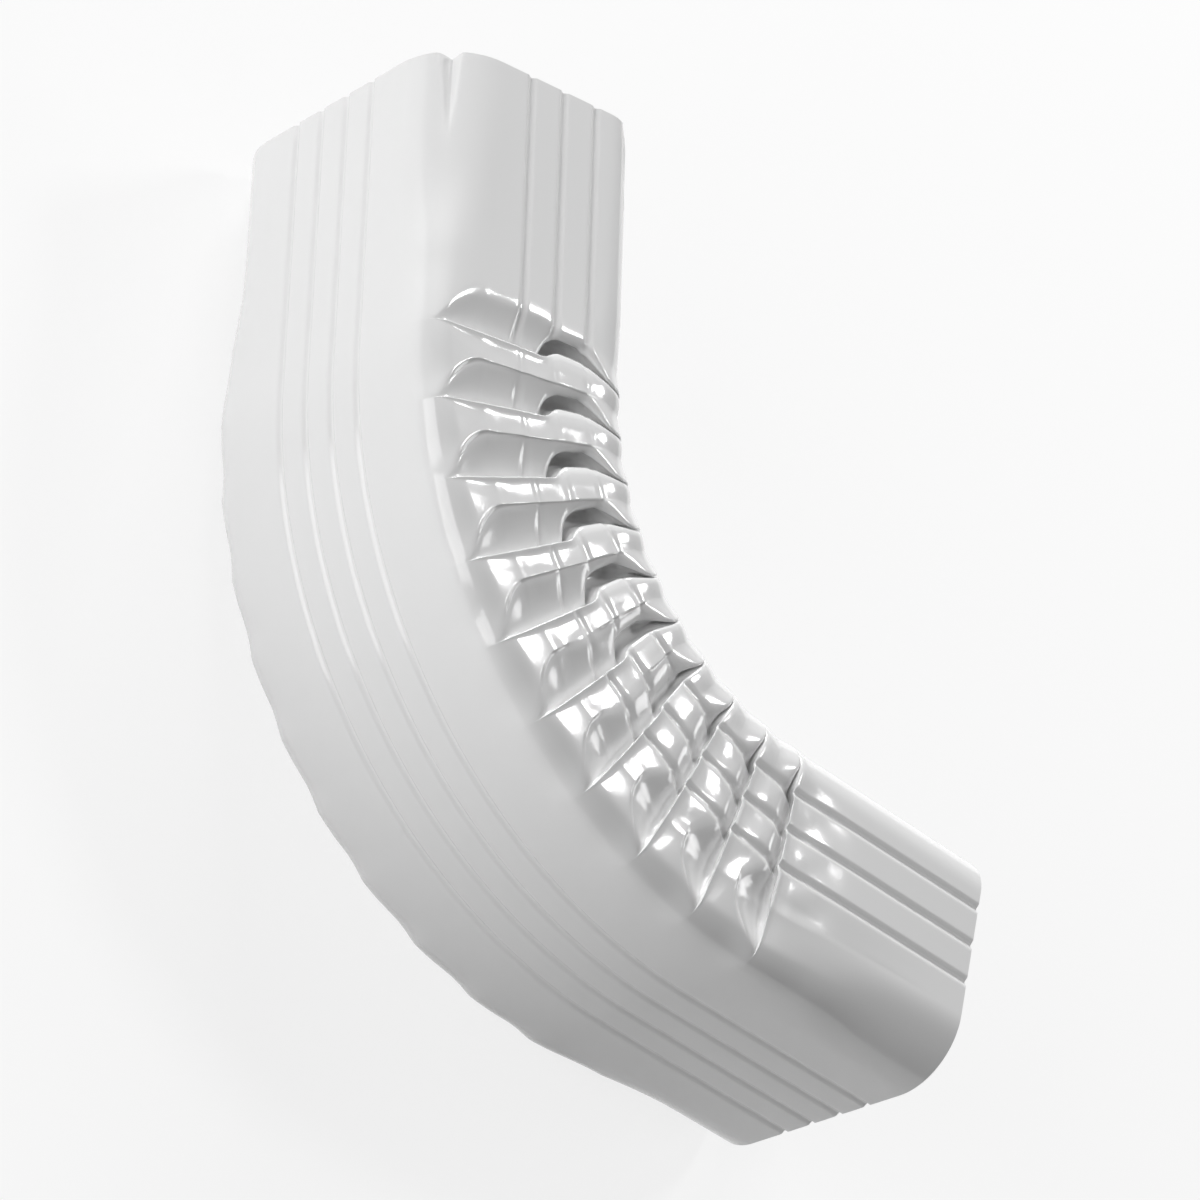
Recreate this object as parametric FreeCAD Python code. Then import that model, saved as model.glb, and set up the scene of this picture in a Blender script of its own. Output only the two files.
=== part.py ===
import FreeCAD, Part

import math
import os

# Downspout elbow of the front-turning kind: one rectangular fluted tube of painted sheet
# whose inner side is gathered into ten folds, so that it turns by about 78 degrees.
# It lies on one narrow side, with the bend plane level and the inlet leg along +Y.
# In a cross-section, depth runs from the heel (outer) face to the throat (inner) face,
# and width runs up, from the side that rests to the side that shows.

# Driving dimensions, in millimetres and degrees
DRIVING_SIZES = [
    ("face_width", 82.6),
    ("side_depth", 60.3),
    ("sheet_thickness", 0.6),
    ("heel_radius", 130.1),
    ("bend_angle", 78.6),
    ("inlet_length", 68.8),
    ("outlet_length", 58.2),
    ("end_corner_radius", 16.5),
    ("bend_corner_radius", 7.0),
    ("facet_angle", 8.0),
    ("facet_end", 14.2),
    ("throat_corner_radius", 11.0),
    ("fold_count", 10),
    ("first_fold_angle", 0.8),
    ("fold_pitch_angle", 8.5),
    ("fold_form_pitch", 19.30103),
    ("fold_lead", 18.0),
    ("lead_corner_share", 0.4),
    ("fold_rise", 12.7),
    ("shoulder_back", 8.6),
    ("flank_back", 4.2),
    ("flank_depth", 2.2),
    ("valley_back", 1.1),
    ("valley_depth", 4.0),
    ("mouth_start", 31.0),
    ("mouth_run", 7.0),
    ("mouth_shoulder_back", 7.7),
    ("mouth_flank_back", 5.5),
    ("mouth_flank_depth", 2.4),
    ("mouth_floor_back", 6.0),
    ("mouth_floor_depth", 5.0),
    ("mouth_crest_back", 3.3),
    ("mouth_crest_depth", 1.8),
    ("lip_start", 43.0),
    ("lip_run", 11.0),
    ("lip_shoulder_back", 1.5),
    ("lip_overhang", 0.2),
    ("lip_flare", 0.4),
    ("pocket_back", 3.0),
    ("pocket_depth", 4.6),
    ("crest_forward", 0.4),
    ("crest_depth", 0.4),
    ("body_share", 0.34),
    ("body_dip", 0.5),
    ("heel_flute_count", 4),
    ("heel_flute_pitch", 9.2),
    ("side_flute_count", 3),
    ("side_flute_heel_margin", 9.0),
    ("side_flute_throat_margin", 4.3),
    ("flute_width", 2.6),
    ("flute_depth", 0.5),
    ("dart_length", 22.0),
    ("dart_width", 8.0),
    ("dart_depth", 3.6),
]

# Which point of an outline, counted from the edge of the heel's flat, is the tip of a fold, and
# which is the middle of a dart
TIP_INDEX = 1
DART_INDEX = 2

# How near to a plane four points of the sheet lie to make one flat face
FLAT = 1e-6

doc = FreeCAD.newDocument("downspout_elbow")
sheet = doc.addObject("Spreadsheet::Sheet", "sizes")
for row, (name, value) in enumerate(DRIVING_SIZES, start=1):
    sheet.set("A%d" % row, name)
    sheet.set("B%d" % row, str(value))
    sheet.setAlias("B%d" % row, name)
doc.recompute()


def size(name):
    """The value that the sheet holds under this name."""
    return float(sheet.get(name))


def ramp(value, start, run):
    """Rises smoothly from 0 at start to 1 at start + run."""
    share = min(max((value - start) / run, 0.0), 1.0)
    return share * share * (3.0 - 2.0 * share)


def mix(first, second, share):
    return first + (second - first) * share


class OutlinePoint:
    """A point of the cross-section, with the direction that faces out of the tube there."""

    def __init__(self, depth, width, out_depth, out_width, flute=0.0, dart=0.0):
        self.depth = depth
        self.width = width
        self.out_depth = out_depth
        self.out_width = out_width
        self.flute = flute
        self.dart = dart
        self.run = 0.0

    def mirrored(self):
        point = OutlinePoint(self.depth, -self.width, self.out_depth, -self.out_width, self.flute, self.dart)
        point.run = self.run
        return point


def flute_centres(count, pitch):
    """Places of evenly spaced flutes, either side of a face's middle."""
    return [(number - (count - 1) / 2.0) * pitch for number in range(int(count))]


def arc_point(centre_depth, centre_width, radius, degrees):
    """A point of the heel's corner, at an angle turned from the heel's direction to the side's."""
    angle = math.radians(degrees)
    return OutlinePoint(
        centre_depth - radius * math.cos(angle), centre_width + radius * math.sin(angle),
        -math.cos(angle), math.sin(angle))


def dart_angles(radius):
    """Angles of a round corner's points: its ends, its middle, and the dart's edges beside that."""
    half_dart = math.degrees(0.5 * size("dart_width") / radius)
    return [0.0, 45.0 - half_dart, 45.0, 45.0 + half_dart, 90.0]


def leg_corner():
    """The heel's corner where the tube is straight: a plain arc."""
    radius = size("end_corner_radius")
    centre_width = size("face_width") / 2.0 - radius
    return [arc_point(radius, centre_width, radius, degrees) for degrees in dart_angles(radius)]


def bend_corner():
    """The heel's corner at a fold: a tight arc, whose middle is the fold's tip, and a facet."""
    radius = size("bend_corner_radius")
    slope = math.radians(size("facet_angle"))
    half_width = size("face_width") / 2.0
    arc_depth = radius * (1.0 - math.sin(slope))
    facet_drop = (size("facet_end") - arc_depth) * math.tan(slope)
    centre_width = half_width - facet_drop - radius * math.cos(slope)
    arc_end = 90.0 - size("facet_angle")
    points = [arc_point(radius, centre_width, radius, degrees) for degrees in (0.0, 45.0, arc_end)]
    for share in (0.5, 1.0):
        points.append(OutlinePoint(
            mix(arc_depth, size("facet_end"), share), half_width - facet_drop * (1.0 - share),
            -math.sin(slope), math.cos(slope)))
    return points


def blended(leg_point, bend_point, share):
    """A corner point between its places on a leg and at a fold."""
    out_depth = mix(leg_point.out_depth, bend_point.out_depth, share)
    out_width = mix(leg_point.out_width, bend_point.out_width, share)
    length = math.hypot(out_depth, out_width)
    return OutlinePoint(
        mix(leg_point.depth, bend_point.depth, share), mix(leg_point.width, bend_point.width, share),
        out_depth / length, out_width / length)


def side_point(depth, flute=0.0):
    return OutlinePoint(depth, size("face_width") / 2.0, 0.0, 1.0, flute=flute)


def throat_point(width, flute=0.0):
    return OutlinePoint(size("side_depth"), width, 1.0, 0.0, flute=flute)


def fluted_flat(make_point, centres, direction):
    """Points of the flutes across a flat: the two edges and the floor of each."""
    half_flute = direction * size("flute_width") / 2.0
    points = []
    for centre in centres:
        points.append(make_point(centre - half_flute))
        points.append(make_point(centre, flute=1.0))
        points.append(make_point(centre + half_flute))
    return points


def side_flute_centres():
    """Depths of the side's flutes, spread between the corners of the tube's ends."""
    first = size("end_corner_radius") + size("side_flute_heel_margin")
    last = size("side_depth") - size("throat_corner_radius") - size("side_flute_throat_margin")
    count = int(size("side_flute_count"))
    return [mix(first, last, number / (count - 1.0)) for number in range(count)]


def half_outline(bend_share):
    """Half of the outline, from the edge of the heel's flat to the middle of the throat."""
    half_width = size("face_width") / 2.0
    side_depth = size("side_depth")
    throat_radius = size("throat_corner_radius")
    points = [blended(*pair, bend_share) for pair in zip(leg_corner(), bend_corner())]
    points[DART_INDEX].dart = 1.0
    points += fluted_flat(side_point, side_flute_centres(), 1.0)
    for degrees in dart_angles(size("end_corner_radius")):
        angle = math.radians(degrees)
        points.append(OutlinePoint(
            side_depth - throat_radius * (1.0 - math.sin(angle)),
            half_width - throat_radius * (1.0 - math.cos(angle)),
            math.sin(angle), math.cos(angle), dart=float(degrees == 45.0)))
    throat_centres = flute_centres(size("heel_flute_count"), size("heel_flute_pitch"))
    near_centres = sorted([centre for centre in throat_centres if centre > 0.0], reverse=True)
    points += fluted_flat(throat_point, near_centres, -1.0)
    for before, point in zip(points[TIP_INDEX:], points[TIP_INDEX + 1:]):
        point.run = before.run + math.hypot(point.depth - before.depth, point.width - before.width)
    return points


def full_outline(bend_share):
    """The outline from one edge of the heel's flat, round by the throat, to the other edge."""
    near = half_outline(bend_share)
    return near + [point.mirrored() for point in reversed(near)]


class Plane:
    """A radial plane across the tube: its angle round the bend and its distance along a leg."""

    def __init__(self, angle, along, bend_share):
        self.angle = math.radians(180.0 + angle)
        self.along = along
        self.outline = full_outline(bend_share)

    def forward(self):
        return FreeCAD.Vector(-math.sin(self.angle), math.cos(self.angle), 0.0)

    def outward(self, depth_part, width_part):
        """A direction of the cross-section as a vector: depth runs towards the bend's centre."""
        inward = FreeCAD.Vector(-math.cos(self.angle), -math.sin(self.angle), 0.0)
        return inward * depth_part + FreeCAD.Vector(0.0, 0.0, width_part)

    def point(self, depth, width):
        radius = size("heel_radius") - depth
        place = FreeCAD.Vector(radius * math.cos(self.angle), radius * math.sin(self.angle), width)
        return place + self.forward() * self.along


class Row:
    """One line of sheet points from heel edge to heel edge, and its share of the plane gap."""

    def __init__(self, points, outs, gap, heel_share):
        self.points = points
        self.outs = outs
        self.gap = gap
        self.heel_share = heel_share


def outs_at(plane):
    return [plane.outward(point.out_depth, point.out_width) for point in plane.outline]


def fold_reach(outline_point):
    """How much of the fold's form a point takes: nothing up to the tip, all of it past the facet."""
    share = min(max(outline_point.run / size("fold_rise"), 0.0), 1.0)
    return math.sin(0.5 * math.pi * share)


def plain_row(planes, index, dart_share):
    """A row on a leg: flutes all round and, near the inlet's rim, a dart in each corner."""
    plane = planes[index]
    outs = outs_at(plane)
    points = []
    for outline_point, out in zip(plane.outline, outs):
        depth = outline_point.flute * size("flute_depth")
        depth += outline_point.dart * dart_share * size("dart_depth")
        points.append(plane.point(outline_point.depth, outline_point.width) - out * depth)
    return Row(points, outs, index - 1, 1.0)


def fold_scale():
    """The pitch along the heel against the pitch that the folds' distances are drawn for."""
    return size("heel_radius") * math.radians(size("fold_pitch_angle")) / size("fold_form_pitch")


def lip_share(outline_point):
    """How much of the lip's form a point takes: nothing on the side, all of it on the throat."""
    return ramp(outline_point.depth, size("lip_start"), size("lip_run"))


def fold_row(planes, index, ridge_form, mouth_form, lip_form):
    """A row of the fold at a plane. Each form is (distance back, depth): on the side's heel half
    as a ridge, on its throat half as an open mouth, and round the throat as a lip."""
    plane = planes[index]
    before = planes[index - 1]
    outs = outs_at(plane)
    points = []
    for outline_point, upstream, out in zip(plane.outline, before.outline, outs):
        reach = fold_reach(outline_point)
        mouth = ramp(outline_point.depth, size("mouth_start"), size("mouth_run"))
        lip = lip_share(outline_point)
        back = fold_scale() * reach * mix(mix(ridge_form[0], mouth_form[0], mouth), lip_form[0], lip)
        depth = reach * mix(mix(ridge_form[1], mouth_form[1], mouth), lip_form[1], lip)
        depth += outline_point.flute * size("flute_depth")
        here = plane.point(outline_point.depth, outline_point.width)
        line = before.point(upstream.depth, upstream.width) - here
        points.append(here + line * (back / line.Length) - out * depth)
    return Row(points, outs, index - 1, 1.0)


def body_row(planes, index):
    """The smooth middle of a scale, between the fold at a plane and the next plane."""
    plane = planes[index]
    after = planes[index + 1]
    share = size("body_share")
    outs = []
    points = []
    for outline_point, following in zip(plane.outline, after.outline):
        depth = lip_share(outline_point) * size("body_dip")
        depth += outline_point.flute * size("flute_depth")
        here = plane.point(outline_point.depth, outline_point.width)
        there = after.point(following.depth, following.width)
        out = mix(plane.outward(outline_point.out_depth, outline_point.out_width),
                  after.outward(following.out_depth, following.out_width), share)
        outs.append(out.normalize())
        points.append(here + (there - here) * share - out * depth)
    return Row(points, outs, index, share)


def make_planes():
    """The inlet's rim, the darts' end, the lead-in, each fold, the lead-out and the outlet's rim."""
    inlet = size("inlet_length")
    lead = size("fold_lead")
    lead_share = size("lead_corner_share")
    planes = [
        Plane(0.0, -inlet, 0.0),
        Plane(0.0, size("dart_length") - inlet, 0.0),
        Plane(0.0, -lead, lead_share),
    ]
    for number in range(int(size("fold_count"))):
        angle = size("first_fold_angle") + number * size("fold_pitch_angle")
        planes.append(Plane(angle, 0.0, 1.0))
    planes.append(Plane(size("bend_angle"), lead, lead_share))
    planes.append(Plane(size("bend_angle"), size("outlet_length"), 0.0))
    return planes


def make_rows(planes):
    """All rows of the sheet from the inlet's rim to the outlet's rim."""
    shoulder = (
        (size("shoulder_back"), 0.0),
        (size("mouth_shoulder_back"), 0.0),
        (size("lip_shoulder_back"), 0.0))
    flank = (
        (size("flank_back"), size("flank_depth")),
        (size("mouth_flank_back"), size("mouth_flank_depth")),
        (-size("lip_overhang"), -size("lip_flare")))
    valley = (
        (size("valley_back"), size("valley_depth")),
        (size("mouth_floor_back"), size("mouth_floor_depth")),
        (size("pocket_back"), size("pocket_depth")))
    crest = (
        (0.0, 0.0),
        (size("mouth_crest_back"), size("mouth_crest_depth")),
        (-size("crest_forward"), size("crest_depth")))
    rows = [plain_row(planes, 0, 1.0), plain_row(planes, 1, 0.0), plain_row(planes, 2, 0.0)]
    last_fold = len(planes) - 3
    for index in range(3, last_fold + 1):
        for forms in (shoulder, flank, valley, crest):
            rows.append(fold_row(planes, index, *forms))
        rows.append(body_row(planes, index))
    rows.append(plain_row(planes, last_fold + 1, 0.0))
    rows.append(plain_row(planes, last_fold + 2, 0.0))
    return rows


def sheet_normals(rows, row_number):
    """Directions that face out of the sheet along a row, from the neighbouring points."""
    row = rows[row_number]
    before = rows[max(row_number - 1, 0)].points
    after = rows[min(row_number + 1, len(rows) - 1)].points
    last = len(row.points) - 1
    normals = []
    for number, out in enumerate(row.outs):
        along = after[number] - before[number]
        across = row.points[min(number + 1, last)] - row.points[max(number - 1, 0)]
        on_heel_edge = min(number, last - number) <= TIP_INDEX
        normals.append(out if on_heel_edge else along.cross(across).normalize())
    return normals


def inner_rows(rows, planes, thickness):
    """The sheet's inside face: each row moved in by the thickness, and held level at a rim."""
    result = []
    for row_number, row in enumerate(rows):
        points = [
            point - normal * thickness
            for point, normal in zip(row.points, sheet_normals(rows, row_number))]
        if row_number in (0, len(rows) - 1):
            plane = planes[0] if row_number == 0 else planes[-1]
            ahead = plane.forward()
            points = [inner - ahead * ahead.dot(inner - outer) for inner, outer in zip(points, row.points)]
        result.append(Row(points, row.outs, row.gap, row.heel_share))
    return result


def heel_depths(skin_depth):
    """Width and depth of the heel's corners, from one side of its flat to the other."""
    half_flute = size("flute_width") / 2.0
    places = []
    for centre in flute_centres(size("heel_flute_count"), size("heel_flute_pitch")):
        places.append((centre - half_flute, skin_depth))
        places.append((centre, skin_depth + size("flute_depth")))
        places.append((centre + half_flute, skin_depth))
    return places


def facets(*corners):
    """One flat face through up to four points, or two where they don't lie in a plane."""
    loop = []
    for corner in corners:
        if not loop or (corner - loop[-1]).Length > FLAT:
            loop.append(corner)
    if (loop[0] - loop[-1]).Length < FLAT:
        loop.pop()
    if len(loop) < 3:
        return []
    if len(loop) == 3:
        return [Part.Face(Part.makePolygon(loop + loop[:1]))]
    first, second, third, fourth = loop
    normal = (third - first).cross(fourth - second)
    if abs(normal.dot(second - first)) < FLAT * normal.Length:
        return [Part.Face(Part.makePolygon(loop + loop[:1]))]
    halves = ([first, second, third, first], [first, third, fourth, first])
    return [Part.Face(Part.makePolygon(half)) for half in halves]


def skin_faces(rows, planes, skin_depth):
    """Faces of one side of the sheet, and the closed wires at its two rims."""
    seams = []
    for plane in planes:
        edge_width = plane.outline[0].width
        places = [(-edge_width, skin_depth)] + heel_depths(skin_depth) + [(edge_width, skin_depth)]
        seams.append([plane.point(depth, width) for width, depth in places])
    for row in rows:
        first = seams[max(row.gap, 0)]
        second = seams[row.gap + 1]
        row.points[0] = first[-1] + (second[-1] - first[-1]) * row.heel_share
        row.points[-1] = first[0] + (second[0] - first[0]) * row.heel_share
    faces = []
    for row, next_row in zip(rows, rows[1:]):
        for number in range(len(row.points) - 1):
            faces += facets(
                row.points[number], row.points[number + 1],
                next_row.points[number + 1], next_row.points[number])
    for gap in range(len(planes) - 1):
        first = seams[gap]
        second = seams[gap + 1]
        inside = [row for row in rows if row.gap == gap and row.heel_share < 1.0]
        near_loop = [first[-2], first[-1]] + [row.points[0] for row in inside] + [second[-1], second[-2]]
        far_loop = [first[1], first[0]] + [row.points[-1] for row in inside] + [second[0], second[1]]
        for loop in (near_loop, far_loop):
            faces.append(Part.Face(Part.makePolygon(loop + [loop[0]])))
        for number in range(1, len(first) - 2):
            faces += facets(first[number], first[number + 1], second[number + 1], second[number])
    rims = []
    for seam, row in ((seams[0], rows[0]), (seams[-1], rows[-1])):
        rims.append(Part.makePolygon(seam + row.points))
    return faces, rims


def make_elbow():
    """The sheet as one solid: its outer and inner faces and the two cut rims."""
    planes = make_planes()
    thickness = size("sheet_thickness")
    rows = make_rows(planes)
    inside = inner_rows(rows, planes, thickness)
    outer_faces, outer_rims = skin_faces(rows, planes, 0.0)
    inner_faces, inner_rims = skin_faces(inside, planes, thickness)
    rim_faces = []
    for outer_rim, inner_rim in zip(outer_rims, inner_rims):
        hole = inner_rim.copy()
        hole.reverse()
        rim_faces.append(Part.Face([outer_rim, hole]))
    skin = Part.Compound(outer_faces + inner_faces + rim_faces)
    skin.sewShape()
    solid = Part.Solid(skin.Shells[0])
    if solid.Volume < 0.0:
        solid.reverse()
    return solid


elbow = doc.addObject("Part::Feature", "elbow")
elbow.Label = "elbow"
elbow.Shape = make_elbow()
box = elbow.Shape.optimalBoundingBox()
elbow.Placement = FreeCAD.Placement(
    FreeCAD.Vector(-box.Center.x, -box.Center.y, -box.ZMin), FreeCAD.Rotation())
doc.recompute()

for item in doc.Objects:
    if "Invalid" in item.State or "Error" in item.State:
        raise RuntimeError("%s failed to build: %s" % (item.Label, item.State))
if elbow.Shape.isNull() or not elbow.Shape.isValid():
    raise RuntimeError("The elbow's shape is not a valid solid")

os.makedirs("parts", exist_ok=True)
elbow.Shape.exportStep("parts/%s.step" % elbow.Label)
shape = elbow.Shape
print("solids", len(shape.Solids), "faces", len(shape.Faces), "volume", round(shape.Volume, 1))
print("placed by", elbow.Placement.Base)
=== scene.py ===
import math

import bpy
import numpy as np
from mathutils import Matrix, Vector


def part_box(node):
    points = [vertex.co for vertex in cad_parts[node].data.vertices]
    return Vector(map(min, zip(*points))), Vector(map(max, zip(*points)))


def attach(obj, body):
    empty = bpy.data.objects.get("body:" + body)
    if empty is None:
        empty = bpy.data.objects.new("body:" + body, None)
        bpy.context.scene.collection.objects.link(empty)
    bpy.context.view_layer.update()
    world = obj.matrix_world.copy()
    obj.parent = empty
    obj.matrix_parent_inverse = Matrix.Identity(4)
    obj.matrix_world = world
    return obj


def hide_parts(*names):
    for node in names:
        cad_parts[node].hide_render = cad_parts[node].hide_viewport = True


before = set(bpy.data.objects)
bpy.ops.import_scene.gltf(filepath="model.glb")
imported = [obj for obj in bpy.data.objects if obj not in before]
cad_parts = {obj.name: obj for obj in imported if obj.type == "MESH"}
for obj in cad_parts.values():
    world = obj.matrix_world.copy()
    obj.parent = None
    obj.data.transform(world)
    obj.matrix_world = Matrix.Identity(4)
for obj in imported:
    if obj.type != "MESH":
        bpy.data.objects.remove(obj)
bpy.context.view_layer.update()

# The elbow's looks: the pleated sheet as a fine mesh, its gloss white paint, a pale floor and
# soft studio light. Lengths are in millimetres until the mesh is made, and in the elbow's own
# frame: the bend's centre is the origin, the inlet leg runs along +Y, and the tube's middle is
# the plane Z = 0. In a section, depth runs from the heel face to the throat face.

MM = 0.001

# The tube. The lead is how far the first and the last scale reach into the legs.
FACE_WIDTH = 82.6
HALF_WIDTH = FACE_WIDTH / 2.0
SIDE_DEPTH = 60.3
SHEET = 0.6
HEEL_RADIUS = 130.1
BEND = math.radians(78.6)
INLET_LENGTH = 68.8
OUTLET_LENGTH = 58.2
LEAD = 18.0

# The heel's corner: a plain arc at the ends, and at a fold a tight arc with a facet beside it,
# whose crease with the side is rounded over a short run
END_CORNER = 16.5
BEND_CORNER = 7.0
FACET_SLOPE = math.radians(8.0)
FACET_END = 14.2
CREASE_RUN = 0.3
CORNER_START_WIDTH = 24.3
CORNER_END_DEPTH = 17.3
THROAT_CORNER = 11.0

# How much of the tight corner the sheet loses again between two folds, and where it loses most
CORNER_RELAX = 0.16
RELAX_SKEW = 1.6

# How far from the bend a leg takes its plain corner
CORNER_FADE = 40.0

# The flutes, and how fast they fade behind a crest
HEEL_FLUTES = (4.6, 13.8)
SIDE_FLUTES = (25.46, 35.21, 44.97)
FLUTE_HALF_WIDTH = 1.3
FLUTE_DEPTH = 0.8
FLUTE_FADE = 4.5

# How much of its flutes each scale keeps, from the inlet leg's to the outlet leg's, and how
# much more of them it has at its crest
SCALE_FLUTES = (1.0, 0.1, 0.1, 0.15, 0.25, 0.35, 0.5, 0.6, 0.7, 0.8, 1.0)
CREST_FLUTES = 1.6

# The pits that the flutes leave before a crest
PIT_HALF_WIDTH = 2.2
PIT_DEPTH = 0.9
PIT_RUN = 1.0
PIT_FADE = 6.0

# The folds. Their depth grows from a tip on the corner over the rise, where no row is closer to
# the crest than the least spread. Towards the heel's middle the rows spread out evenly.
FOLDS = 10
FIRST_FOLD = math.radians(0.8)
FOLD_PITCH = math.radians(8.5)
RISE = 12.7
LEAST_SPREAD = 0.1
GATHER_RUN = 12.0

# Where round the section each form of a fold takes over, by the distance past the tip for the
# crisp ridge and by the depth for the others
CRISP_START = 3.0
CRISP_RUN = 11.0
TUCK_START = 15.0
TUCK_RUN = 9.0
MOUTH_START = 31.0
MOUTH_RUN = 7.0
LIP_START = 43.0
LIP_RUN = 11.0

# The heel is round between two folds, up to this distance past the tip, and flat after the run
HEEL_END = -9.0
HEEL_RUN = 12.0

# The darts of the inlet end, and how wide they start, as a share of their width at the rim
DART_LENGTH = 22.0
DART_DEPTH = 3.6
DART_HALF_WIDTH = 2.8
DART_START_WIDTH = 0.35

# A scale's profile as (distance, depth into the tube). The start runs on from the crest before,
# and the end runs up to the next crest, with its distances measured back from that. The end is
# soft beside the tip, and then a ridge or, in the last folds, a tuck. On the side's throat half
# the profile is a mouth, and on the throat a lip.
RIDGE_AFTER = [(0.0, 0.0), (0.2, 0.02), (0.7, 0.2), (2.2, 0.24), (4.4, 0.1)]
MOUTH_AFTER = [(-3.3, 1.9), (-3.1, 1.2), (-2.5, 0.62), (-1.0, 0.26), (1.4, 0.08)]
LIP_AFTER = [(0.2, 0.5), (0.35, 0.0), (0.9, -0.25), (2.0, -0.2), (3.6, 0.1)]
SOFT_BEFORE = [(12.5, 0.0), (11.0, 0.08), (9.6, 0.26), (8.2, 0.54), (6.8, 0.9), (5.4, 1.3), (4.0, 1.7),
               (2.7, 2.05), (1.6, 2.25), (0.8, 2.2), (0.35, 1.7), (0.12, 1.0), (0.03, 0.3), (0.0, 0.0)]
RIDGE_BEFORE = [(11.8, 0.0), (10.4, 0.1), (9.2, 0.34), (8.2, 0.72), (7.0, 1.18), (5.4, 1.75), (3.6, 2.25),
                (1.8, 2.6), (0.2, 2.9), (-1.0, 3.2), (-1.3, 2.5), (-0.9, 1.3), (-0.35, 0.45), (0.0, 0.0)]
TUCK_BEFORE = [(7.4, 0.0), (5.6, 0.06), (4.2, 0.2), (3.2, 0.44), (2.4, 0.8), (1.7, 1.2), (1.0, 1.6),
               (0.3, 2.0), (-0.6, 2.5), (-1.3, 2.9), (-1.4, 2.3), (-0.9, 1.2), (-0.35, 0.4), (0.0, 0.0)]
MOUTH_BEFORE = [(11.0, 0.0), (9.4, 0.02), (8.3, 0.1), (7.7, 0.4), (7.2, 1.0), (6.9, 1.8), (7.4, 2.9),
                (9.0, 4.6), (9.0, 7.4), (6.8, 8.4), (4.9, 6.6), (4.1, 4.4), (3.6, 2.8), (3.3, 1.9)]
LIP_BEFORE = [(6.0, 0.45), (4.0, 0.3), (2.2, 0.0), (1.0, -0.2), (0.3, -0.35), (-0.1, -0.2), (0.1, 0.3),
              (0.8, 1.4), (1.9, 3.2), (2.7, 4.6), (2.4, 4.6), (1.3, 2.9), (0.3, 1.3), (-0.2, 0.5)]

# How far each fold's mouth gapes, and how far its side is tucked in
MOUTH_GAPE = (1.0, 1.0, 1.0, 0.92, 0.78, 0.5, 0.22, 0.06, 0.0, 0.0)
SIDE_TUCK = (0.0, 0.0, 0.0, 0.05, 0.15, 0.35, 0.55, 0.8, 1.0, 1.0)

# The sheet's small unevenness on the scales: its height, and how that grows with each fold. It
# starts past the facet, behind the crest, and runs out on the outlet leg. A wave has how fast it
# turns with the depth, with the place along the tube and from fold to fold.
RIPPLE = 0.12
RIPPLE_LEAST = 0.4
RIPPLE_GROWTH = 0.08
RIPPLE_WAVES = ((0.37, 0.0, 1.9), (0.24, 0.33, 2.3), (0.53, -0.42, 4.1))
LAST_WAVE = 0.7
RIPPLE_FACET_END = 12.0
RIPPLE_FACET_RUN = 6.0
RIPPLE_CREST_END = 0.5
RIPPLE_CREST_RUN = 3.0
RIPPLE_LEG_RUN = 12.0

# The side's crown, which falls away to the heel's corner
CROWN = 0.6
CROWN_RUN = 12.0

# Samples round half of a section: in the arc that they are taken from, to the corner's tip, to
# its crease and to the side, round the throat's corner, and about a step apart on the flats. A
# flute has a zone, as its half width and its number of samples, where they are closer together.
ARC_SAMPLES = 90
TIP_SAMPLES = 16
FACET_SAMPLES = 20
CREASE_SAMPLES = 3
THROAT_SAMPLES = 14
FLAT_STEP = 1.2
THROAT_STEP = 1.5
NARROW_ZONE = (1.6, 6)
WIDE_ZONE = (2.4, 8)

# Rows along the tube: in a scale's end and body, in the darts and the rest of the inlet leg, and
# in the outlet leg. A scale's end takes at most a share of its length.
END_ROWS = 19
BODY_ROWS = 5
DART_ROWS = 12
INLET_ROWS = DART_ROWS + 6
OUTLET_ROWS = 10
END_SHARE = 0.62

# How far within the outer skin an inner skin ends, and a distance that no sample comes near
INNER_END = 0.02
FAR = 99.0


def ramp(value, start, run):
    """0 up to start, then a smooth rise to 1 over the run."""
    share = np.clip((value - start) / run, 0.0, 1.0)
    return share * share * (3.0 - 2.0 * share)


def smooth_path(points, count):
    """A smooth curve through a few points, as evenly numbered samples."""
    points = np.array(points, dtype=float)
    ahead = np.vstack([2 * points[0] - points[1], points, 2 * points[-1] - points[-2]])
    samples = []
    for place in np.linspace(0.0, len(points) - 1.0, count):
        number = min(int(place), len(points) - 2)
        share = place - number
        first, second, third, fourth = ahead[number:number + 4]
        samples.append(0.5 * (
            2 * second + (third - first) * share
            + (2 * first - 5 * second + 4 * third - fourth) * share ** 2
            + (3 * second - first - 3 * third + fourth) * share ** 3))
    return np.array(samples)


def spaced(start, end, step):
    """Places from start up to, but without, the end, about a step apart."""
    count = max(1, round(abs(end - start) / step))
    return list(np.linspace(start, end, count, endpoint=False))


def fluted_places(start, end, centres, zone, step):
    """Places of samples along a flat: close together across each flute, wider apart between."""
    half_width, samples = zone
    reach = math.copysign(half_width, end - start)
    places = []
    last = start
    for centre in centres:
        places += spaced(last, centre - reach, step)
        places += list(np.linspace(centre - reach, centre + reach, samples, endpoint=False))
        last = centre + reach
    return places + spaced(last, end, step)


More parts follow.
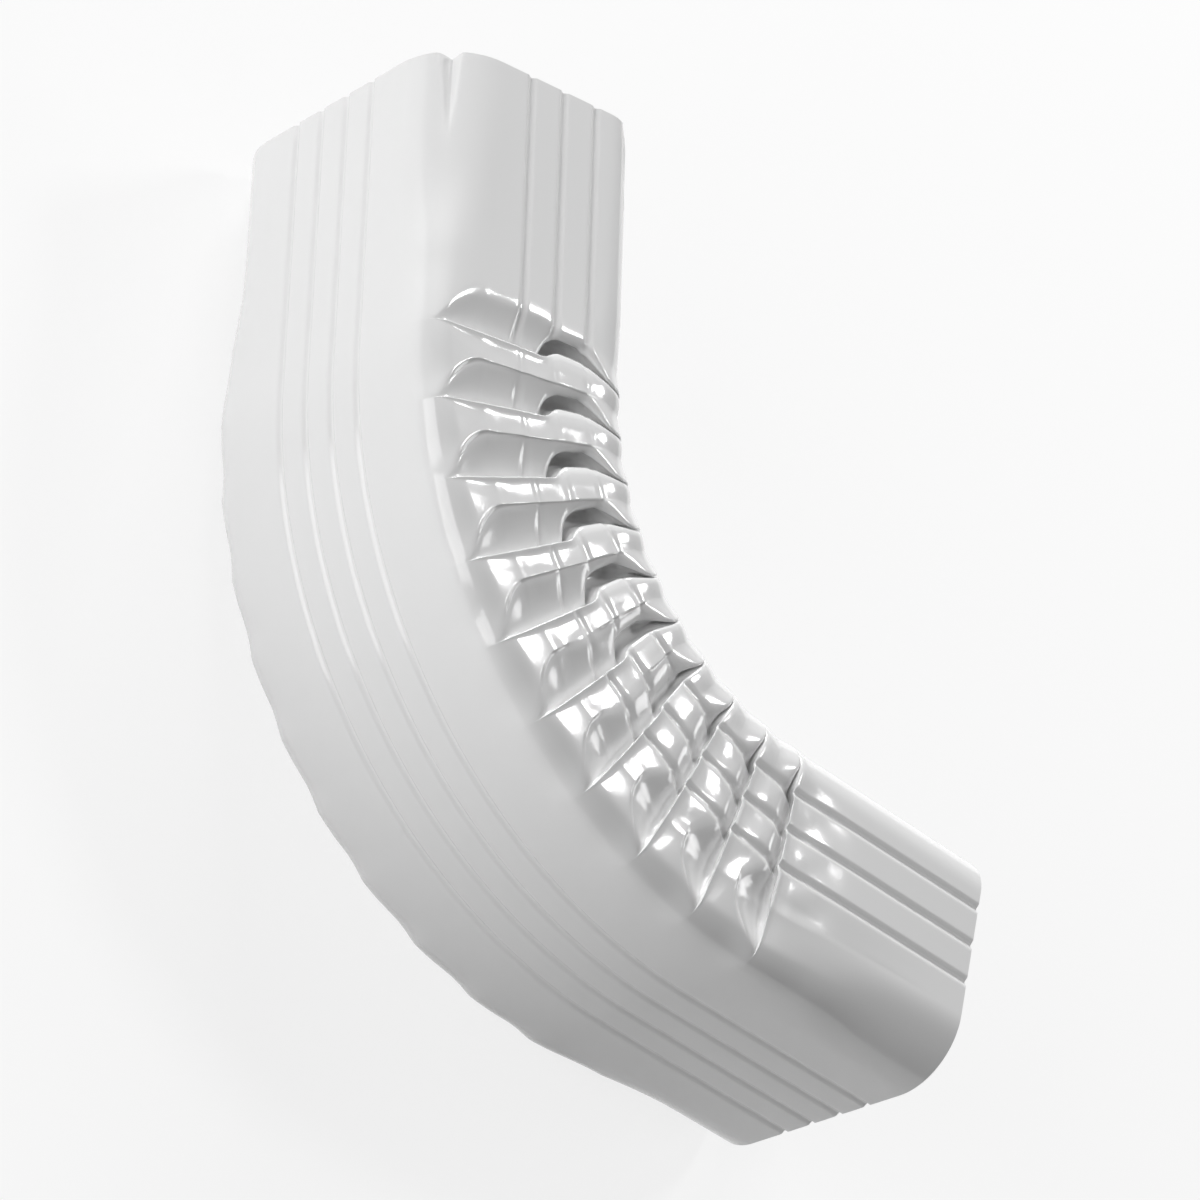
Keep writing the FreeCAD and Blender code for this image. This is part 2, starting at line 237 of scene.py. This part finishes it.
def corner_path(radius, slope, end_depth):
    """The heel's corner as dense rows of (depth, width, way out), with the runs of its tip and crease."""
    arc_end = math.pi / 2.0 - slope
    arc_depth = radius * (1.0 - math.cos(arc_end))
    drop = (end_depth - arc_depth) * math.tan(slope)
    centre_width = HALF_WIDTH - drop - radius * math.sin(arc_end)
    rows = [(0.0, CORNER_START_WIDTH, -1.0, 0.0)]
    for angle in np.linspace(0.0, arc_end, ARC_SAMPLES):
        rows.append((radius * (1.0 - math.cos(angle)), centre_width + radius * math.sin(angle),
                     -math.cos(angle), math.sin(angle)))
    if slope > 0.0:
        rows.append((end_depth, HALF_WIDTH, -math.sin(slope), math.cos(slope)))
        rows.append((end_depth + CREASE_RUN, HALF_WIDTH, 0.0, 1.0))
    rows.append((CORNER_END_DEPTH, HALF_WIDTH, 0.0, 1.0))
    rows = np.array(rows)
    run = np.concatenate([[0.0], np.cumsum(np.hypot(np.diff(rows[:, 0]), np.diff(rows[:, 1])))])
    tip = centre_width - CORNER_START_WIDTH + radius * math.pi / 4.0
    crease = run[-1] - (CORNER_END_DEPTH - end_depth)
    return rows, run, tip, crease


def corner_samples(radius, slope, end_depth):
    """Samples of the corner, the same number to the tip, on to the crease and on to the side."""
    rows, run, tip, crease = corner_path(radius, slope, end_depth)
    places = np.concatenate([
        np.linspace(0.0, tip, TIP_SAMPLES, endpoint=False),
        np.linspace(tip, crease, FACET_SAMPLES, endpoint=False),
        np.linspace(crease, run[-1], CREASE_SAMPLES, endpoint=False)])
    return np.stack([np.interp(places, run, column) for column in rows.T], axis=1), places - tip


class Outline:
    """Half of a section, from the heel's middle to the throat's: the places and ways out of its
    samples with a leg's corner and with the bend's, and each sample's share in every form."""

    def __init__(self):
        heel = [(0.0, place, -1.0, 0.0) for place in
                fluted_places(0.0, CORNER_START_WIDTH, HEEL_FLUTES, NARROW_ZONE, FLAT_STEP)]
        leg_corner, _ = corner_samples(END_CORNER, 0.0, END_CORNER)
        bend_corner, past_tip = corner_samples(BEND_CORNER, FACET_SLOPE, FACET_END)
        side_end = SIDE_DEPTH - THROAT_CORNER
        side = [(place, HALF_WIDTH, 0.0, 1.0) for place in
                fluted_places(CORNER_END_DEPTH, side_end, SIDE_FLUTES, WIDE_ZONE, FLAT_STEP)]
        turns = np.linspace(0.0, math.pi / 2.0, THROAT_SAMPLES, endpoint=False)
        throat_corner = [(side_end + THROAT_CORNER * math.sin(turn),
                          HALF_WIDTH - THROAT_CORNER * (1.0 - math.cos(turn)),
                          math.sin(turn), math.cos(turn)) for turn in turns]
        throat = [(SIDE_DEPTH, place, 1.0, 0.0) for place in
                  fluted_places(HALF_WIDTH - THROAT_CORNER, 0.0, HEEL_FLUTES[::-1], NARROW_ZONE,
                                THROAT_STEP)]
        throat.append((SIDE_DEPTH, 0.0, 1.0, 0.0))
        self.leg = np.vstack([heel, leg_corner, side, throat_corner, throat])
        self.bend = np.vstack([heel, bend_corner, side, throat_corner, throat])
        count = len(self.leg)
        first = len(heel)
        last = first + len(leg_corner)
        throat_first = count - len(throat)
        self.past_tip = np.full(count, FAR)
        self.past_tip[:first] = self.leg[:first, 1] - CORNER_START_WIDTH + past_tip[0]
        self.past_tip[first:last] = past_tip
        self.flute_off = np.full(count, FAR)
        for centre in HEEL_FLUTES:
            for part in (slice(0, first), slice(throat_first, count)):
                self.flute_off[part] = np.minimum(self.flute_off[part], np.abs(self.leg[part, 1] - centre))
        for centre in SIDE_FLUTES:
            part = slice(last, throat_first)
            self.flute_off[part] = np.minimum(self.flute_off[part], np.abs(self.leg[part, 0] - centre))
        out_turn = np.arctan2(self.leg[:, 3], -self.leg[:, 2])
        near_heel = self.leg[:, 0] < SIDE_DEPTH / 2.0
        self.dart_off = np.where(
            near_heel, np.abs(out_turn - math.pi / 4.0) * END_CORNER,
            np.abs(out_turn - 0.75 * math.pi) * THROAT_CORNER)
        self.crisp = ramp(self.past_tip, CRISP_START, CRISP_RUN)
        self.tuck = ramp(self.bend[:, 0], TUCK_START, TUCK_RUN)
        self.mouth = ramp(self.leg[:, 0], MOUTH_START, MOUTH_RUN)
        self.lip = ramp(self.leg[:, 0], LIP_START, LIP_RUN)
        self.crown = (CROWN * (1.0 - ramp(self.bend[:, 0], FACET_END, CROWN_RUN))
                      * ramp(self.past_tip, 0.0, RISE))
        self.reach = np.sin(0.5 * math.pi * np.clip(self.past_tip / RISE, 0.0, 1.0))
        self.gather = ramp(self.past_tip, -GATHER_RUN, GATHER_RUN)
        self.heel_weight = 1.0 - ramp(self.past_tip, HEEL_END, HEEL_RUN)

    def at(self, bend_share):
        """The section with some of the bend's corner form, one share or one for each sample."""
        share = np.broadcast_to(bend_share, len(self.leg))[:, None]
        section = self.leg + (self.bend - self.leg) * share
        section[:, 2:] /= np.linalg.norm(section[:, 2:], axis=1)[:, None]
        return section


OUTLINE = Outline()
UP = np.array([0.0, 0.0, 1.0])


def groove(half_width, depth):
    """How deep each sample of the outline lies in its flute: a rounded V."""
    return depth * (1.0 - ramp(OUTLINE.flute_off, 0.0, half_width))


class Station:
    """A plane across the tube, at an angle round the bend and a distance along a leg."""

    def __init__(self, turn, along):
        angle = math.pi + turn
        self.forward = np.array([-math.sin(angle), math.cos(angle), 0.0])
        self.inward = np.array([-math.cos(angle), -math.sin(angle), 0.0])
        self.along = along

    def points(self, section):
        radius = HEEL_RADIUS - section[:, 0]
        return self.forward * self.along - radius[:, None] * self.inward + section[:, 1:2] * UP

    def outs(self, section):
        return section[:, 2:3] * self.inward + section[:, 3:4] * UP


def leg_corner_share(back):
    """How much of the bend's corner form a leg has at a distance from the bend."""
    return 1.0 - ramp(back, 0.0, CORNER_FADE)


def dart_press(back):
    """The V pressed into each corner of the inlet's end, deepest at the rim."""
    share = (back - INLET_LENGTH + DART_LENGTH) / DART_LENGTH
    if share <= 0.0:
        return 0.0
    half_width = DART_HALF_WIDTH * (DART_START_WIDTH + (1.0 - DART_START_WIDTH) * share)
    return DART_DEPTH * share * np.clip(1.0 - OUTLINE.dart_off / half_width, 0.0, 1.0)


def plain_rows(turn, places):
    """Rows along a leg, at distances from the bend, with the flutes and the darts."""
    rows = []
    for along in places:
        section = OUTLINE.at(leg_corner_share(abs(along)))
        station = Station(turn, along)
        press = groove(FLUTE_HALF_WIDTH, FLUTE_DEPTH) + dart_press(-along)
        press = press + OUTLINE.crown * leg_corner_share(abs(along) - LEAD)
        rows.append(station.points(section) - station.outs(section) * press[:, None])
    return rows


def blended_form(fold, soft, ridge, tuck, mouth, throat):
    """A profile's point for each sample of the outline, between a fold's forms."""
    form = []
    for axis in range(2):
        value = soft[axis] + (ridge[axis] - soft[axis]) * OUTLINE.crisp
        value = value + (tuck[axis] - value) * OUTLINE.tuck * SIDE_TUCK[fold]
        value = value + (mouth[axis] - value) * OUTLINE.mouth * MOUTH_GAPE[fold]
        form.append(value + (throat[axis] - value) * OUTLINE.lip)
    return form


def scale_rows(before, after, fold):
    """Rows between two stations, numbered by the fold at the second: on from the crest at the
    first, up to the crest at the second. Before the first fold and after the last is a leg."""
    has_start = fold > 0
    has_end = fold < FOLDS
    section = OUTLINE.at(1.0)
    length = np.linalg.norm(after.points(section) - before.points(section), axis=1)
    spread = np.maximum(OUTLINE.reach, LEAST_SPREAD)
    places = []
    if has_start:
        for forms in zip(RIDGE_AFTER, RIDGE_AFTER, RIDGE_AFTER, MOUTH_AFTER, LIP_AFTER):
            distance, depth = blended_form(fold - 1, *forms)
            places.append((distance * spread, depth))
    else:
        places.append((0.0 * length, 0.0 * length))
    ends = []
    if has_end:
        shapes = (SOFT_BEFORE, RIDGE_BEFORE, TUCK_BEFORE, MOUTH_BEFORE, LIP_BEFORE)
        for forms in zip(*[smooth_path(shape, END_ROWS) for shape in shapes]):
            distance, depth = blended_form(fold, *forms)
            ends.append((length - np.minimum(distance, END_SHARE * length) * spread, depth))
    else:
        ends.append((length, 0.0 * length))
    first, last = places[-1], ends[0]
    for share in np.linspace(0.0, 1.0, BODY_ROWS + 2)[1:-1]:
        places.append((first[0] + (last[0] - first[0]) * share, first[1] + (last[1] - first[1]) * share))
    places += ends[:-1]
    rows = []
    for number, (place, depth) in enumerate(places):
        even = length * number / len(places)
        place = even + (place - even) * OUTLINE.gather
        share = place / length
        rows.append(scale_row(before, after, fold, place, length, share, depth))
    return rows


def ripple(fold, place):
    """How far a scale's small unevenness presses in each sample of a row: waves that cross."""
    depth = OUTLINE.bend[:, 0]
    across, along, last = (np.sin(by_depth * depth + by_place * place + by_fold * fold)
                           for by_depth, by_place, by_fold in RIPPLE_WAVES)
    wave = 1.0 + LAST_WAVE + (across * along + LAST_WAVE * last)
    height = RIPPLE * (RIPPLE_LEAST + RIPPLE_GROWTH * fold)
    past_facet = ramp(OUTLINE.past_tip, RIPPLE_FACET_END, RIPPLE_FACET_RUN)
    return height * wave * past_facet * (1.0 - OUTLINE.lip)


def scale_row(before, after, fold, place, length, share, depth):
    """One row of a scale, from the place and the depth of each of its samples."""
    has_start = fold > 0
    has_end = fold < FOLDS
    held = np.clip(share, 0.0, 1.0)
    if has_start and has_end:
        corner = 1.0 - CORNER_RELAX * 0.5 * (1.0 - np.cos(2.0 * math.pi * held ** RELAX_SKEW))
    else:
        rise = ramp(held if has_end else 1.0 - held, 0.0, 1.0)
        corner = leg_corner_share(LEAD) + (1.0 - leg_corner_share(LEAD)) * rise
    section = OUTLINE.at(corner)
    start = before.points(section)
    point = start + (after.points(section) - start) * share[:, None]
    out = before.outs(section) * (1.0 - share[:, None]) + after.outs(section) * share[:, None]
    out /= np.linalg.norm(out, axis=1)[:, None]
    side = (OUTLINE.past_tip > 0.0) * (1.0 - OUTLINE.lip)
    kept = SCALE_FLUTES[fold]
    pit = 0.0 * place
    if has_start:
        at_crest = min(1.0, CREST_FLUTES * kept)
        kept = kept + (at_crest - kept) * np.exp(-np.maximum(place, 0.0) / FLUTE_FADE)
    if has_end:
        before_crest = np.exp(-(np.maximum(length - place - PIT_RUN, 0.0) / PIT_FADE) ** 2)
        pit = before_crest * side * (1.0 - OUTLINE.mouth * MOUTH_GAPE[fold])
        kept = kept * (1.0 - before_crest)
    flutes = 1.0 + (kept - 1.0) * side
    press = OUTLINE.reach * depth + flutes * groove(FLUTE_HALF_WIDTH, FLUTE_DEPTH) + OUTLINE.crown
    press += pit * groove(PIT_HALF_WIDTH, PIT_DEPTH)
    if has_start:
        fade = 1.0 if has_end else ramp(length - place, 0.0, RIPPLE_LEG_RUN)
        press += ripple(fold, place) * ramp(place, RIPPLE_CREST_END, RIPPLE_CREST_RUN) * fade
    if has_start and has_end:
        heelward = point * np.array([1.0, 1.0, 0.0])
        heelward /= np.linalg.norm(heelward, axis=1)[:, None]
        bulge = length ** 2 / (2.0 * HEEL_RADIUS) * held * (1.0 - held) * OUTLINE.heel_weight
        point = point + heelward * bulge[:, None]
    point = point - out * press[:, None]
    point[:, 2] = np.minimum(point[:, 2], HALF_WIDTH)
    return point


def outer_rows():
    """Every row of the outer skin, from the inlet's rim to the outlet's rim."""
    dart_end = INLET_LENGTH - DART_LENGTH
    dart = np.linspace(INLET_LENGTH, dart_end, DART_ROWS)
    rest = np.linspace(dart_end, LEAD, INLET_ROWS - DART_ROWS + 2)[1:-1]
    rows = plain_rows(0.0, -np.concatenate([dart, rest]))
    lead_in = Station(0.0, -LEAD)
    lead_out = Station(BEND, LEAD)
    folds = [Station(FIRST_FOLD + number * FOLD_PITCH, 0.0) for number in range(FOLDS)]
    stations = [lead_in] + folds + [lead_out]
    for fold, (before, after) in enumerate(zip(stations, stations[1:])):
        rows += scale_rows(before, after, fold)
    return rows + plain_rows(BEND, np.linspace(LEAD, OUTLET_LENGTH, OUTLET_ROWS))


def full_ring(half_points):
    """A whole section from its half: the mirrored half follows, without the shared middle points."""
    mirrored = half_points[::-1].copy()
    mirrored[:, 2] *= -1.0
    return np.vstack([half_points, mirrored[1:-1]])


def grid_normals(grid):
    """Directions out of the sheet at each point of the closed grid."""
    along = np.empty_like(grid)
    along[1:-1] = grid[2:] - grid[:-2]
    along[0] = grid[1] - grid[0]
    along[-1] = grid[-1] - grid[-2]
    across = np.roll(grid, -1, axis=1) - np.roll(grid, 1, axis=1)
    normal = np.cross(along, across)
    return normal / np.linalg.norm(normal, axis=2)[:, :, None]


def strip_faces(rows, columns, start, flip):
    """Faces between neighbouring rows of a closed grid whose vertices begin at a number."""
    faces = []
    for row in range(rows - 1):
        for column in range(columns):
            follow = (column + 1) % columns
            corners = (start + row * columns + column, start + row * columns + follow,
                       start + (row + 1) * columns + follow, start + (row + 1) * columns + column)
            faces.append(corners[::-1] if flip else corners)
    return faces


def make_piece(name, vertices, faces):
    """A smooth mesh object from points in the elbow's own frame."""
    mesh = bpy.data.meshes.new(name)
    mesh.from_pydata(((vertices + OFFSET) * MM).tolist(), [], faces)
    mesh.validate()
    for polygon in mesh.polygons:
        polygon.use_smooth = True
    piece = bpy.data.objects.new(name, mesh)
    bpy.context.scene.collection.objects.link(piece)
    print(name, "triangles", sum(len(polygon.vertices) - 2 for polygon in mesh.polygons))
    return piece


def elbow_pieces():
    """The sheet's outer skin, and in both legs its inner skin with the cut rim. At the folds the
    outer skin is seen from both sides, so each inner skin ends on it there."""
    grid = np.array([full_ring(row) for row in outer_rows()])
    normals = grid_normals(grid)
    if np.sum(normals[0] * (grid[0] - grid[0].mean(axis=0))) < 0.0:
        normals = -normals
    count, columns = grid.shape[:2]
    outer = make_piece("outer_skin", grid.reshape(-1, 3), strip_faces(count, columns, 0, True))
    inlet = grid[:INLET_ROWS] - normals[:INLET_ROWS] * SHEET
    inlet[-1] = grid[INLET_ROWS - 1] - normals[INLET_ROWS - 1] * INNER_END
    outlet = grid[-OUTLET_ROWS:] - normals[-OUTLET_ROWS:] * SHEET
    outlet[0] = grid[-OUTLET_ROWS] - normals[-OUTLET_ROWS] * INNER_END
    vertices = np.vstack([grid[0], inlet.reshape(-1, 3), outlet.reshape(-1, 3), grid[-1]])
    faces = strip_faces(INLET_ROWS + 1, columns, 0, False)
    faces += strip_faces(OUTLET_ROWS + 1, columns, (INLET_ROWS + 1) * columns, False)
    return outer, make_piece("inner_skin", vertices, faces)


# Where the elbow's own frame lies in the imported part's frame, in millimetres
LOW, HIGH = (np.array(corner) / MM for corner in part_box("elbow"))
OFFSET = np.array([LOW[0] + HEEL_RADIUS, HIGH[1] - INLET_LENGTH, HIGH[2] - HALF_WIDTH])


def paint_material():
    """Gloss white paint, with a faint grain."""
    material = bpy.data.materials.new("white_paint")
    material.use_nodes = True
    nodes = material.node_tree.nodes
    links = material.node_tree.links
    shader = nodes["Principled BSDF"]
    shader.inputs["Base Color"].default_value = (0.80, 0.80, 0.80, 1.0)
    shader.inputs["Roughness"].default_value = 0.12
    noise = nodes.new("ShaderNodeTexNoise")
    noise.inputs["Scale"].default_value = 240.0
    bump = nodes.new("ShaderNodeBump")
    bump.inputs["Strength"].default_value = 0.02
    bump.inputs["Distance"].default_value = 0.0004
    links.new(noise.outputs["Fac"], bump.inputs["Height"])
    links.new(bump.outputs["Normal"], shader.inputs["Normal"])
    return material


paint = paint_material()
for skin in elbow_pieces():
    skin.data.materials.append(paint)
    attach(skin, "root")
    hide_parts("elbow")


# The floor, in metres, and the share of plain white in what the camera sees of it
FLOOR_HALF_SIZE = 6.0
FLOOR_WHITE = 0.8


def floor_material():
    """A pale floor that the camera and the reflections see near white, with the shadow on it."""
    material = bpy.data.materials.new("pale_floor")
    material.use_nodes = True
    nodes = material.node_tree.nodes
    links = material.node_tree.links
    shader = nodes["Principled BSDF"]
    shader.inputs["Base Color"].default_value = (0.85, 0.85, 0.85, 1.0)
    shader.inputs["Roughness"].default_value = 0.9
    ray = nodes.new("ShaderNodeLightPath")
    seen = ray.outputs["Is Camera Ray"]
    for name in ("Is Glossy Ray", "Is Transmission Ray"):
        either = nodes.new("ShaderNodeMath")
        either.operation = "MAXIMUM"
        links.new(seen, either.inputs[0])
        links.new(ray.outputs[name], either.inputs[1])
        seen = either.outputs[0]
    share = nodes.new("ShaderNodeMath")
    share.operation = "MULTIPLY"
    share.inputs[1].default_value = FLOOR_WHITE
    links.new(seen, share.inputs[0])
    white = nodes.new("ShaderNodeEmission")
    white.inputs["Strength"].default_value = 1.0
    mix = nodes.new("ShaderNodeMixShader")
    links.new(share.outputs[0], mix.inputs["Fac"])
    links.new(shader.outputs["BSDF"], mix.inputs[1])
    links.new(white.outputs["Emission"], mix.inputs[2])
    links.new(mix.outputs["Shader"], nodes["Material Output"].inputs["Surface"])
    return material


def add_floor():
    half = FLOOR_HALF_SIZE
    corners = [(-half, -half, 0), (half, -half, 0), (half, half, 0), (-half, half, 0)]
    mesh = bpy.data.meshes.new("floor")
    mesh.from_pydata(corners, [], [(0, 1, 2, 3)])
    floor = bpy.data.objects.new("floor", mesh)
    bpy.context.scene.collection.objects.link(floor)
    floor.data.materials.append(floor_material())


add_floor()

# The lamps, in metres
LAMP_DISTANCE = 1.6
LAMP_TARGET = Vector((0.0, 0.0, 0.04))


def soft_light(name, azimuth, elevation, size, power):
    """A square softbox at the studio's distance, in a direction from the elbow, facing it."""
    data = bpy.data.lights.new(name, "AREA")
    data.energy = power
    data.shape = "SQUARE"
    data.size = size
    azimuth, elevation = math.radians(azimuth), math.radians(elevation)
    direction = Vector((math.cos(elevation) * math.cos(azimuth), math.cos(elevation) * math.sin(azimuth),
                        math.sin(elevation)))
    light = bpy.data.objects.new(name, data)
    light.location = direction * LAMP_DISTANCE
    light.rotation_euler = (LAMP_TARGET - light.location).to_track_quat("-Z", "Y").to_euler()
    bpy.context.scene.collection.objects.link(light)


soft_light("back", 92.0, 18.0, 0.6, 24.0)
soft_light("left", 188.0, 20.0, 1.1, 17.0)
soft_light("right", 5.0, 18.0, 0.6, 6.0)
soft_light("gloss", 35.0, 52.6, 0.24, 7.0)

world = bpy.data.worlds.new("studio")
bpy.context.scene.world = world
world.use_nodes = True
world.node_tree.nodes["Background"].inputs["Color"].default_value = (1.0, 1.0, 1.0, 1.0)
world.node_tree.nodes["Background"].inputs["Strength"].default_value = 0.05

# The camera, fitted to the photograph: a long lens from the heel side, rolled
CAMERA_PLACE = (-737.24, -523.76, 802.22)
CAMERA_RIGHT = (0.74697, 0.02962, 0.66419)
CAMERA_UP = (-0.30070, 0.90604, 0.29778)
CAMERA_BACK = (-0.59296, -0.42216, 0.68569)
LENS = 150.0
SENSOR = 36.0

camera_data = bpy.data.cameras.new("camera")
camera_data.lens = LENS
camera_data.sensor_width = SENSOR
camera_data.sensor_fit = "HORIZONTAL"
camera_data.clip_end = 50.0
camera = bpy.data.objects.new("camera", camera_data)
bpy.context.scene.collection.objects.link(camera)
turn = Matrix((CAMERA_RIGHT, CAMERA_UP, CAMERA_BACK)).transposed().to_4x4()
place = (Vector(CAMERA_PLACE) + Vector(OFFSET.tolist())) * MM
camera.matrix_world = Matrix.Translation(place) @ turn
bpy.context.scene.camera = camera
bpy.context.scene.view_settings.view_transform = "Standard"
